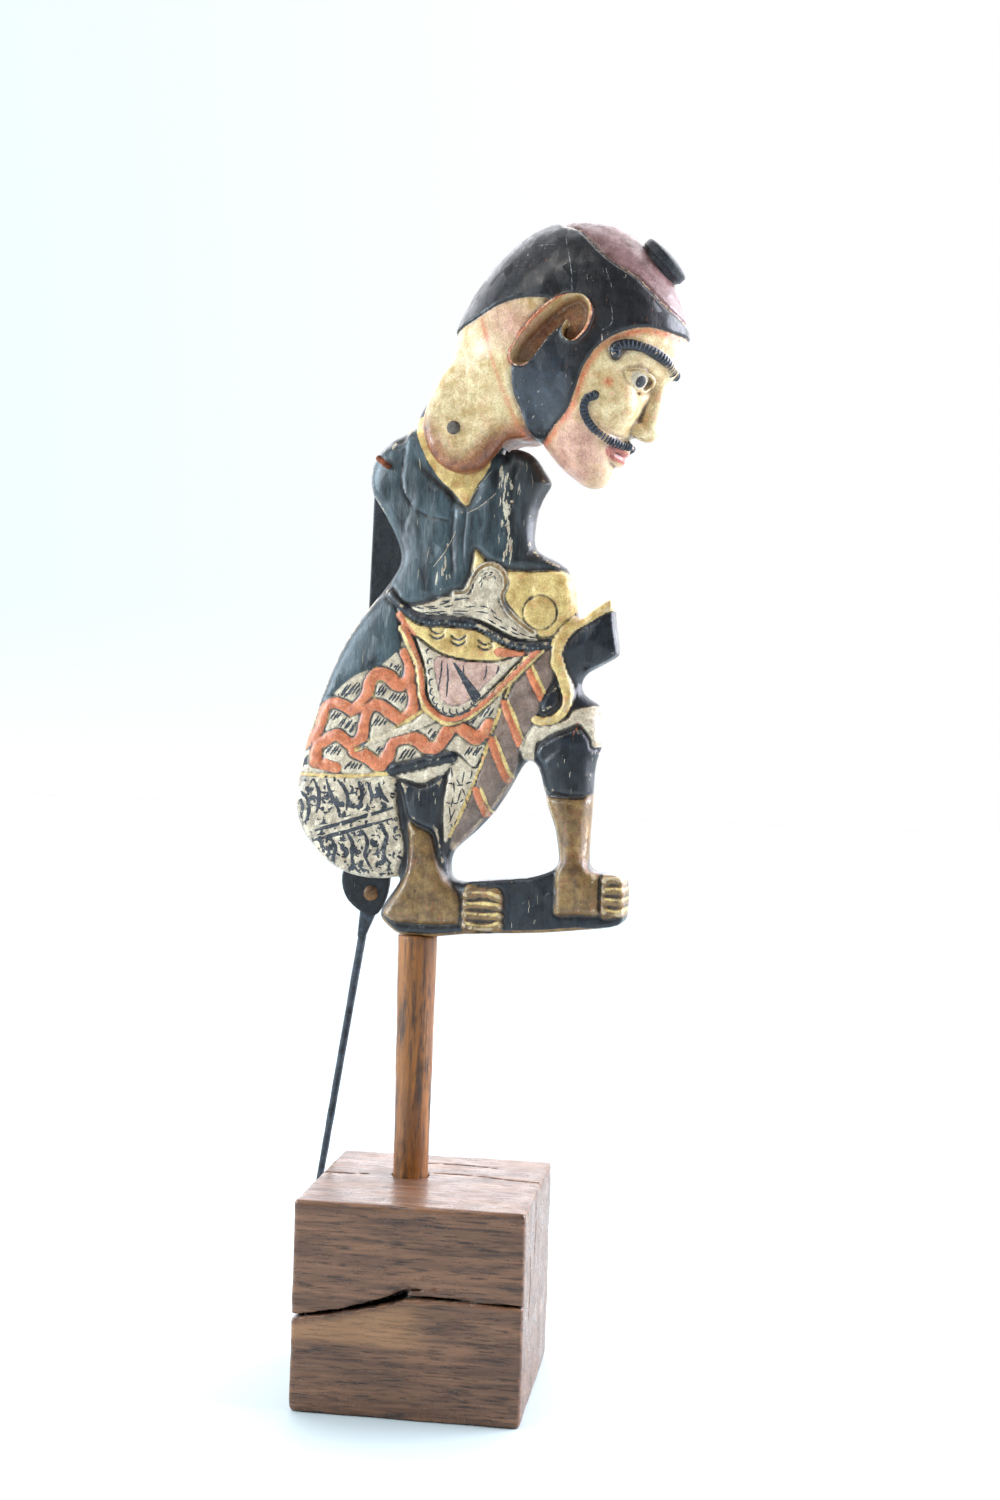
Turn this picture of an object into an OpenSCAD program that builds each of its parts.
// Flat carved wooden rod puppet with a nodding head and one jointed leather arm,
// standing on its grip rod in a hardwood display block.
// Frame: origin on the table under the grip rod, +X the way the puppet faces,
// +Y away from the viewer, +Z up. All sizes are in millimetres.

/* [Display block] */
// Side of the square block
block_w = 112; // [96:1:130]
// Height of the block
block_h = 102; // [80:1:130]
// Turn of the block about its upright axis
block_turn = 5; // [-15:1:15]
// Block centre in front of the grip rod, the way the puppet faces
block_ahead = 12; // [-12:1:18]
// Block centre towards the viewer
block_near = 8; // [-12:1:18]
// Depth of the rod's socket
socket_depth = 55; // [40:1:65]

/* [Grip rod] */
// Diameter in the socket
grip_d = 18; // [14:0.5:22]
// Diameter under the sole
grip_top_d = 20; // [16:0.5:24]
// Bare length between the block and the sole
grip_len = 122; // [90:1:150]
// Diameter of the tenon in the heel
tenon_d = 9; // [7:0.5:10]
// Length of the tenon
tenon_len = 33; // [28:1:36]
// Diameter of the cross pin through heel and tenon
cross_pin_d = 3.5; // [2.5:0.1:4]
// Height of the cross pin above the sole
cross_pin_h = 23; // [15:0.5:25]

/* [Carved panel] */
// Height of the neck peg above the sole
figure_h = 254; // [220:1:280]
// Thickness of the plank between its carved faces
panel_t = 18; // [14:0.5:20]
// Radius of the tongue that the neck straddles
tongue_r = 23.5; // [20:0.5:25]

/* [Carving] */
// Height of the jacket on the near face
jacket_relief = 1.4; // [0.6:0.1:2.4]
// Height of the belly on the near face
belly_relief = 0.8; // [0.4:0.1:2.4]
// Height of the hip cloth on the near face
skirt_relief = 1.6; // [0.6:0.1:2.4]
// Height of the apron on the near face
apron_relief = 2; // [0.6:0.1:2.4]
// Height of the sash on the near face
sash_relief = 1.2; // [0.6:0.1:2.4]
// Height of the legs on the near face
leg_relief = 1.8; // [0.6:0.1:2.4]
// Height of the toes on the near face
toe_relief = 1.5; // [0.6:0.1:2.4]
// Height of the far face's carving for each unit of the near face's
far_share = 0.5; // [0.3:0.05:0.6]

/* [Head] */
// Height from chin to crown
head_h = 115; // [100:1:128]
// Width of the skull
head_w = 58; // [50:1:66]
// Width of the nose
nose_w = 14; // [10:0.5:20]
// How far each ear stands out of the skull
ear_proud = 2.5; // [1:0.1:4]
// Width over the two neck cheeks
neck_w = 40; // [36:0.5:46]
// Forward tilt at rest
head_tilt = 33; // [24:1:38]
// Diameter of the neck peg
peg_d = 7; // [5:0.5:9]
// Length of peg that stands out of each cheek
peg_proud = 2.2; // [1:0.1:4]

/* [Topknot] */
// Diameter of the knot
knot_d = 26.5; // [20:0.5:30]
// Height of the knot
knot_h = 7; // [5:0.5:9]
// Height of its straight rim, under the dome
knot_rim_h = 3.5; // [2:0.1:4]
// Forward tilt of the knot from the head's upright
knot_tilt = 14; // [8:1:20]
// Diameter of its spigot
spigot_d = 6; // [4:0.5:8]
// Length of its spigot
spigot_len = 9; // [6:0.5:12]

/* [Leather arm] */
// Length of the upper arm between its pivots
upper_arm_len = 109; // [95:1:112]
// Length of the forearm between its pivots
forearm_len = 109; // [95:1:112]
// Thickness of the hide
hide_t = 2.8; // [2:0.1:3.4]
// Width at the shoulder
shoulder_w = 27; // [22:0.5:29]
// Width at the elbow
elbow_w = 21; // [17:0.5:23]
// Width at the wrist
wrist_w = 14; // [11:0.5:16]
// Length of the hand above the wrist stud
hand_root = 36; // [32:1:44]
// Backward lean of the hanging arm
arm_lean = 2.6; // [1:0.1:4]

/* [Pins and studs] */
// Diameter of the iron shoulder pin
pin_d = 3.2; // [2.4:0.1:4]
// Diameter of the shoulder pin's head
pin_head_d = 8; // [6:0.5:10]
// Length of the clenched end on the near face
clench_len = 7; // [5:0.5:9]
// Turn of the clenched end up from the level
clench_turn = 40; // [10:1:70]
// Diameter of the elbow and wrist studs
stud_d = 3.6; // [3:0.1:4.4]
// Diameter of the stud heads
stud_head_d = 8; // [6.5:0.5:9]
// Thickness of each stud and pin head
rivet_head_t = 1.1; // [0.8:0.1:1.3]

/* [Control rod] */
// Diameter of the rod
rod_d = 4.2; // [3:0.1:5]
// Diameter of the flattened eye
eye_d = 12; // [10:0.5:14]
// Thickness of the flattened eye
eye_t = 2.5; // [1.8:0.1:3.2]
// Length of the flattened end below the stud
eye_len = 23; // [21:0.5:28]
// How far behind the wrist the tip stands
tip_back = 56; // [40:1:65]
// Height of the tip above the table
tip_lift = 10; // [6:0.5:20]
// Room between the rod and the back of the block
rod_room = 3; // [2:0.5:8]

/* [Fits] */
// Radial clearance of turning and sliding fits
turn_gap = 0.06; // [0.03:0.01:0.1]
// Radial clearance of fixed pegs and pins
fixed_gap = 0.03; // [0.02:0.01:0.05]
// Clearance between faces that pass each other
pass_gap = 0.35; // [0.3:0.05:0.5]
// Gap under the throat when the head is down
stop_gap = 1.5; // [0.8:0.1:2.5]

/* [Hidden] */
$fn = 64;
overlap = 1;

// The figure's outlines are drawn with the neck peg 254 above the sole,
// and the head's outlines with 115 from chin to crown
figure_scale = figure_h / 254;
head_scale = head_h / 115;

sole_z = block_h + grip_len;
neck = [15.7, 254] * figure_scale;
shoulder = [-20, 236.3] * figure_scale;
highest_relief = max(jacket_relief, belly_relief, skirt_relief, apron_relief, sash_relief,
    leg_relief, toe_relief);
near_face = -panel_t / 2 - highest_relief;
far_face = panel_t / 2 + far_share * highest_relief;

// Layers of the arm behind the far face, each starting where the last one ends
upper_arm_y = far_face + pass_gap + rivet_head_t;
forearm_y = upper_arm_y + hide_t + pass_gap;
eye_y = forearm_y + hide_t + pass_gap;
rod_y = eye_y + max(eye_t, rod_d) / 2;

// Places of the hanging arm's pivots, from the ground
hang = [-sin(arm_lean), -cos(arm_lean)];
shoulder_at = shoulder + [0, sole_z];
elbow_at = shoulder_at + upper_arm_len * hang;
wrist_at = elbow_at + forearm_len * hang;

// The rod leans back to the table and is set outwards, so that it passes behind the block
rod_tip_at = [wrist_at.x - tip_back, tip_lift];
rod_way = (rod_tip_at - wrist_at) / norm(rod_tip_at - wrist_at);
rod_root_at = wrist_at + eye_len * rod_way;
block_back = block_w / 2 * (cos(block_turn) + abs(sin(block_turn))) - block_near;
rod_set = (block_back + rod_room + rod_d / 2 - rod_y) / (rod_root_at.y - block_h);
rod_tip_y = rod_y + rod_set * (rod_root_at.y - tip_lift);

// Silhouette of the plank, from the left shoulder down the back, along the sole and up the front
body_points = [
    [0, 254], [-9, 256], [-15, 253.5], [-21.5, 250], [-27, 245], [-31, 237.5], [-32, 230],
    [-30.5, 223], [-25, 215], [-19, 204.5], [-15.8, 196], [-15, 190.5], [-16.5, 185], [-22, 176.5],
    [-33, 162], [-40, 152], [-46, 141], [-53, 124], [-59, 107], [-63, 90], [-66, 74], [-66, 62],
    [-63, 52], [-56, 43], [-46, 34.5], [-36, 29.8], [-25, 28], [-16.5, 28.3], [-11, 29.3],
    [-9.3, 28], [-12, 23], [-16.5, 16.5], [-18.8, 12], [-18, 8], [-13, 3.5], [-8, 0.6], [0, 0],
    [12, 0.3], [26, 2.3], [45, 3.8], [65, 5.2], [85, 7.6], [100, 9.8], [105.3, 12.5], [106.3, 18],
    [106.3, 28], [105, 34], [100, 35.7], [91, 36.2], [87.7, 39], [87, 47], [87.8, 66], [88.4, 86],
    [90, 94.5], [92, 100], [91, 107], [90.5, 113], [91, 118], [86.5, 121.3], [82, 124.5],
    [80.5, 129.5], [83.5, 135], [91, 139.8], [97, 143.3], [98.3, 147], [96.3, 160], [95.8, 167],
    [94.8, 171.2], [90.5, 169], [84, 164.5], [79, 161.6], [77.3, 165], [77, 171], [75.3, 180],
    [71, 187], [64, 191.3], [57.5, 194.3], [54.6, 198], [54.3, 205], [56, 216], [59, 223],
    [62, 228], [61, 231.5], [58.3, 235.5], [55, 240.5], [50, 244.5], [44, 246.3], [38, 246], [24, 250]];

// Opening between the two legs
window_points = [
    [55, 90.3], [51.5, 87], [46.5, 77.5], [39, 65.3], [30, 55], [22, 47.8], [17.5, 43], [16, 36.5],
    [17.5, 30.2], [24, 28.6], [42, 30.6], [57, 32.2], [67, 35.2], [71.2, 38.5], [71.5, 45],
    [69, 57], [65.2, 69], [61.7, 83], [58.8, 88.8]];

// Raised fields of the carving
jacket_points = [
    [-14.5, 249], [-21, 246], [-26.5, 240], [-29, 231], [-27, 222], [-21, 212.5], [-15.5, 202],
    [-12.5, 192], [-13.5, 182], [-15.5, 176.5], [-10, 171], [0, 170], [10, 173.5], [18, 176.5],
    [23, 185], [27, 194], [34, 188.5], [44, 185.5], [58, 185.5], [68, 185], [61, 189.5],
    [53, 194], [51.8, 204], [53.5, 216], [57, 225], [57, 231.5], [52, 239], [46, 241], [38, 234],
    [30, 226.5], [21, 217], [10, 226], [-2, 235.5], [-9, 245]];
belly_points = [
    [45, 182], [58, 182.3], [69, 181.5], [73.5, 173], [73, 164], [67, 158.5], [58, 157], [50, 162],
    [43, 171]];
skirt_points = [
    [-14, 168], [-24, 170], [-35, 156], [-46, 136], [-55, 113], [-61, 90], [-63.5, 70],
    [-60, 54.5], [-50, 41.5], [-36, 33], [-20, 31.5], [-12, 38], [-11, 52], [-13, 66], [-14, 78],
    [2, 84], [18, 91], [30, 100], [37, 113], [27, 112], [15, 107], [5, 111], [0, 122], [-4, 138],
    [-10, 154]];
apron_points = [
    [-9.5, 155], [-3, 141], [0, 126], [5, 113.5], [15, 109], [25, 112.5], [37, 122], [49, 135],
    [59.5, 146], [48, 142.5], [35, 140.5], [20, 141.5], [6, 146]];
sash_points = [
    [61, 146.5], [67.5, 148], [68.5, 136], [65, 122], [58, 107], [52.5, 96], [45, 81], [36, 66.5],
    [27, 56.5], [20, 50.5], [19, 55], [26, 70], [33, 88], [40, 110], [47, 130], [53, 140]];
rear_leg_points = [
    [-8.5, 78], [2, 76.5], [13, 81], [13.5, 66], [11.5, 53], [12, 38], [17.5, 27], [24, 18],
    [22, 9], [8, 6.5], [-8, 6.8], [-15, 10.5], [-12, 18], [-5.5, 29], [-5, 42], [-8, 60]];
front_leg_points = [
    [62.5, 94], [74, 100], [86, 104.5], [89.5, 100.5], [86, 90], [85.5, 70], [84.5, 50], [86, 38],
    [93, 29], [94, 15.5], [83, 14], [73, 14], [73.5, 32], [74.5, 44], [71.5, 58], [66, 76]];

// Rows of toes: where the lowest toe of each foot starts, its length, and the rows' spacing
rear_toes = [25, 5.5];
rear_toe_len = 20;
front_toes = [96, 14];
front_toe_len = 8;
toe_pitch = 4.8;
toe_w = 3.8;
toe_count = 4;

// Side view of the skull and jaw, from the nape over the crown to the chin
skull_points = [
    [-19, 13], [-23, 25], [-28.5, 37], [-31.5, 52], [-32, 70], [-29.5, 87], [-23, 103],
    [-11, 117], [4, 125], [19, 127], [36, 123.5], [52, 115.5], [64, 106], [71.5, 95], [74, 84],
    [72.5, 74], [71.5, 64], [73.5, 54], [75, 44], [74, 35], [73.5, 25], [70, 15.5], [60, 12.5],
    [46, 15], [34, 19], [22, 18], [0, 14]];
skull_centre = [22, 68];
// Rings from the middle of the skull to each side, the turn of the last one,
// and the power by which the outline narrows
skull_rings = 5;
skull_turn = 74;
skull_power = 0.62;
nose_points = [[70, 72], [75.5, 63], [83, 53], [81.5, 48.5], [75, 46], [68, 47], [66, 60]];
ear_points = [
    [19, 88], [27, 85], [31, 76], [28.5, 67], [22, 61], [16.5, 53], [11.5, 46.5], [7.5, 49],
    [8, 60], [9, 72], [12, 83]];
neck_points = [
    [-20.5, 15], [-19.8, 5], [-16.5, -6], [-9, -14], [0, -18.3], [8.5, -18.6], [16.5, -15.3],
    [21.5, -9], [23, 0], [24.8, 10], [34, 19], [34, 40], [6, 46], [-18, 36]];
// Underside of neck and jaw, which the right shoulder stays clear of
throat_points = [
    [18, 3.5], [25.6, 4.5], [26.2, 10], [34, 18], [46, 14], [60, 11.5], [95, 11.5], [95, 70], [18, 70]];
// Seat of the topknot on the crown
knot_seat = [36.8, 122.6] * head_scale;
// Reach of the neck cheeks about the peg
cheek_reach = 25.5 * head_scale;

// Outline of the hand about the wrist stud
hand_points = [
    [-wrist_w / 2, hand_root], [-9.5, 24], [-14.5, 15], [-16.5, 8], [-15.5, 1], [-12, -5], [-6, -9.5],
    [0, -12], [4.5, -10], [8, -3], [9.5, 5], [9.5, 14], [8, 24], [wrist_w / 2, hand_root]];

// A point on a smooth curve from b to c, where a and d are the points around them
function curve_point(a, b, c, d, t) =
    (2 * b + (c - a) * t + (2 * a - 5 * b + 4 * c - d) * t * t + (3 * b - a - 3 * c + d) * t * t * t) / 2;

// A smooth closed outline through all points
function smooth(points, steps = 2) = [
    for (i = [0 : len(points) - 1], s = [0 : steps - 1])
        let (n = len(points))
        curve_point(points[(i + n - 1) % n], points[i], points[(i + 1) % n], points[(i + 2) % n], s / steps)];

// A flat outline in X and Z, from one Y to another
module slab(y_from, y_to) {
    translate([0, y_to, 0])
        rotate([90, 0, 0])
        linear_extrude(y_to - y_from)
        children();
}

// A round bar along Y
module pin_y(at, y_from, y_to, d) {
    translate([at.x, y_to, at.y])
        rotate([90, 0, 0])
        cylinder(d = d, h = y_to - y_from);
}

// A hole through the plank and its carving
module hole_through(at, d) {
    pin_y(at, near_face - overlap, far_face + overlap, d);
}

// A round bar between two points
module bar(from, to, d) {
    way = to - from;
    translate(from)
        rotate([0, acos(way.z / norm(way)), atan2(way.y, way.x)])
        cylinder(d = d, h = norm(way));
}

// A flat link with round ends: the first at the origin, the second below it
module link(length, first_d, second_d) {
    hull() {
        circle(d = first_d, $fn = 32);
        translate([0, -length])
            circle(d = second_d, $fn = 32);
    }
}

module at_neck() {
    translate([neck.x, 0, sole_z + neck.y])
        rotate([0, head_tilt, 0])
        children();
}

// Square block with a socket for the grip rod
module stand_block() {
    color("saddlebrown")
        difference() {
            translate([block_ahead, -block_near, block_h / 2])
                rotate([0, 0, block_turn])
                cube([block_w, block_w, block_h], center = true);
            translate([0, 0, block_h - socket_depth])
                cylinder(d = grip_d + 2 * turn_gap, h = socket_depth + overlap);
        }
}

// Rod with a straight foot in the socket, a slight flare and a tenon in the heel
module grip_rod() {
    color("peru")
        difference() {
            union() {
                translate([0, 0, block_h - socket_depth])
                    cylinder(d = grip_d, h = socket_depth);
                translate([0, 0, block_h])
                    cylinder(d1 = grip_d, d2 = grip_top_d, h = grip_len);
                translate([0, 0, sole_z - overlap])
                    cylinder(d = tenon_d, h = tenon_len + overlap);
            }
            pin_y([0, sole_z + cross_pin_h], -tenon_d, tenon_d, cross_pin_d + 2 * fixed_gap);
        }
}

// Wooden cross pin that locks the tenon in the heel
module tenon_pin() {
    color("sienna")
        pin_y([0, sole_z + cross_pin_h], near_face, far_face, cross_pin_d);
}

// Room for neck and jaw above the right shoulder when the head is down
module throat_room() {
    translate(neck)
        rotate(-head_tilt)
        polygon([for (p = throat_points) p * head_scale - [0, stop_gap]]);
}

module body_outline() {
    difference() {
        polygon(smooth(body_points * figure_scale));
        polygon(smooth(window_points * figure_scale));
        throat_room();
    }
    translate(neck)
        circle(r = tongue_r);
}

// A flat outline raised on both faces of the plank
module raised(relief) {
    slab(-panel_t / 2 - relief, panel_t / 2 + far_share * relief)
        children();
}

// A raised field, kept clear of the head
module raised_field(points, relief) {
    raised(relief)
        difference() {
            polygon(smooth(points * figure_scale));
            translate(neck)
                circle(r = cheek_reach + pass_gap);
            throat_room();
        }
}

// A foot's straight toes, one above the other
module toes(lowest, length) {
    for (i = [0 : toe_count - 1])
        raised(toe_relief)
        translate((lowest + [0, i * toe_pitch]) * figure_scale)
        square([length, toe_w] * figure_scale);
}

// One plank: torso, hips, legs and foot bar, with a tongue for the neck
module body_panel() {
    color("darkslategray")
        difference() {
            translate([0, 0, sole_z])
                union() {
                    slab(-panel_t / 2, panel_t / 2)
                        body_outline();
                    raised_field(jacket_points, jacket_relief);
                    raised_field(belly_points, belly_relief);
                    raised_field(skirt_points, skirt_relief);
                    raised_field(apron_points, apron_relief);
                    raised_field(sash_points, sash_relief);
                    raised_field(rear_leg_points, leg_relief);
                    raised_field(front_leg_points, leg_relief);
                    toes(rear_toes, rear_toe_len);
                    toes(front_toes, front_toe_len);
                }
            translate([0, 0, sole_z - overlap])
                cylinder(d = tenon_d + 2 * fixed_gap, h = tenon_len + overlap + pass_gap);
            hole_through([0, sole_z + cross_pin_h], cross_pin_d + 2 * fixed_gap);
            hole_through(shoulder_at, pin_d + 2 * fixed_gap);
            hole_through(neck + [0, sole_z], peg_d + 2 * turn_gap);
        }
}

// The skull's rounded solid: its side outline, narrowed ring by ring to both sides
module skull() {
    outline = smooth(skull_points * head_scale);
    centre = skull_centre * head_scale;
    n = len(outline);
    bands = 2 * skull_rings;
    turns = [for (k = [-skull_rings : skull_rings]) skull_turn * k / skull_rings];
    vertices = [
        for (a = turns, p = outline)
            let (q = centre + (p - centre) * pow(cos(a), skull_power))
            [q.x, head_w / 2 * sin(a) / sin(skull_turn), q.y]];
    walls = [
        for (k = [0 : bands - 1], i = [0 : n - 1])
            let (a = k * n + i, b = k * n + (i + 1) % n)
            each [[a, b + n, b], [a, a + n, b + n]]];
    caps = [[for (i = [0 : n - 1]) i], [for (i = [n - 1 : -1 : 0]) bands * n + i]];
    polyhedron(vertices, concat(walls, caps));
}

// Skull, face, ears and neck, slotted to straddle the panel's tongue
module head() {
    ear_out = head_w / 2 + ear_proud;
    color("burlywood")
        at_neck()
        difference() {
            union() {
                skull();
                slab(-nose_w / 2, nose_w / 2)
                    polygon(nose_points * head_scale);
                slab(-ear_out, ear_out)
                    polygon(smooth(ear_points * head_scale));
                slab(-neck_w / 2, neck_w / 2)
                    polygon(smooth(neck_points * head_scale));
            }
            pin_y([0, 0], -panel_t / 2 - pass_gap, panel_t / 2 + pass_gap, 2 * (tongue_r + pass_gap));
            pin_y([0, 0], -head_w, head_w, peg_d + 2 * fixed_gap);
            translate([knot_seat.x, 0, knot_seat.y])
                rotate([0, knot_tilt, 0]) {
                    translate([0, 0, -spigot_len - pass_gap])
                        cylinder(d = spigot_d + 2 * fixed_gap, h = spigot_len + overlap);
                    cylinder(d = knot_d + 2 * overlap, h = 2 * knot_h);
                }
        }
}

// Wooden peg that the head nods on
module neck_peg() {
    color("dimgray")
        at_neck()
        pin_y([0, 0], -neck_w / 2 - peg_proud, neck_w / 2 + peg_proud, peg_d);
}

// Low domed knot of hair on a spigot
module topknot() {
    dome_h = knot_h - knot_rim_h;
    dome_r = (knot_d * knot_d / 4 + dome_h * dome_h) / 2 / dome_h;
    color("black")
        at_neck()
        translate([knot_seat.x, 0, knot_seat.y])
        rotate([0, knot_tilt, 0])
        union() {
            intersection() {
                cylinder(d = knot_d, h = knot_h);
                translate([0, 0, knot_h - dome_r])
                    sphere(r = dome_r);
            }
            translate([0, 0, -spigot_len])
                cylinder(d = spigot_d, h = spigot_len + knot_rim_h);
        }
}

// Iron nail through arm and panel, headed behind the arm and clenched on the near face
module shoulder_pin() {
    corner = [shoulder_at.x, near_face - pin_d / 2, shoulder_at.y];
    head_y = upper_arm_y + hide_t + pass_gap;
    color("sienna") {
        union() {
            pin_y(shoulder_at, corner.y, head_y + rivet_head_t, pin_d);
            pin_y(shoulder_at, head_y, head_y + rivet_head_t, pin_head_d);
            translate(corner)
                sphere(d = pin_d);
            bar(corner, corner + clench_len * [-cos(clench_turn), 0, sin(clench_turn)], pin_d);
        }
    }
}

module upper_arm() {
    color([0.12, 0.13, 0.15])
        difference() {
            translate([shoulder_at.x, 0, shoulder_at.y])
                rotate([0, arm_lean, 0])
                slab(upper_arm_y, upper_arm_y + hide_t)
                link(upper_arm_len, shoulder_w, elbow_w);
            pin_y(shoulder_at, upper_arm_y - overlap, forearm_y, pin_d + 2 * turn_gap);
            pin_y(elbow_at, upper_arm_y - overlap, forearm_y, stud_d + 2 * fixed_gap);
        }
}

// A stud with a head at each end
module stud(at, y_from, y_to) {
    union() {
        pin_y(at, y_from - rivet_head_t, y_to + rivet_head_t, stud_d);
        pin_y(at, y_from - rivet_head_t, y_from, stud_head_d);
        pin_y(at, y_to, y_to + rivet_head_t, stud_head_d);
    }
}

// Fixed in the upper arm, so the forearm turns on it
module elbow_stud() {
    color("darkgoldenrod")
        stud(elbow_at, upper_arm_y, forearm_y + hide_t + pass_gap);
}

module forearm() {
    color([0.12, 0.13, 0.15])
        difference() {
            translate([elbow_at.x, 0, elbow_at.y])
                rotate([0, arm_lean, 0])
                slab(forearm_y, forearm_y + hide_t)
                union() {
                    link(forearm_len - hand_root + wrist_w / 2, elbow_w, wrist_w);
                    translate([0, -forearm_len])
                        polygon(smooth(hand_points));
                }
            pin_y(elbow_at, upper_arm_y, eye_y, stud_d + 2 * turn_gap);
            pin_y(wrist_at, upper_arm_y, eye_y, stud_d + 2 * fixed_gap);
        }
}

// Fixed in the hand, so the control rod turns on it
module wrist_stud() {
    color("darkgoldenrod")
        stud(wrist_at, forearm_y, eye_y + eye_t + pass_gap);
}

// Slim rod with a flattened eye
module control_rod() {
    root = [rod_root_at.x, rod_y, rod_root_at.y];
    tip = [rod_tip_at.x, rod_tip_y, rod_tip_at.y];
    color([0.16, 0.17, 0.19])
        difference() {
            union() {
                translate([wrist_at.x, 0, wrist_at.y])
                    rotate([0, atan2(-rod_way.x, -rod_way.y), 0])
                    slab(eye_y, eye_y + eye_t)
                    link(eye_len, eye_d, rod_d);
                translate(root)
                    sphere(d = rod_d);
                bar(root, tip, rod_d);
                translate(tip)
                    sphere(d = rod_d);
            }
            pin_y(wrist_at, eye_y - overlap, eye_y + eye_t + overlap, stud_d + 2 * turn_gap);
        }
}

stand_block();
grip_rod();
tenon_pin();
body_panel();
head();
neck_peg();
topknot();
shoulder_pin();
upper_arm();
elbow_stud();
forearm();
wrist_stud();
control_rod();
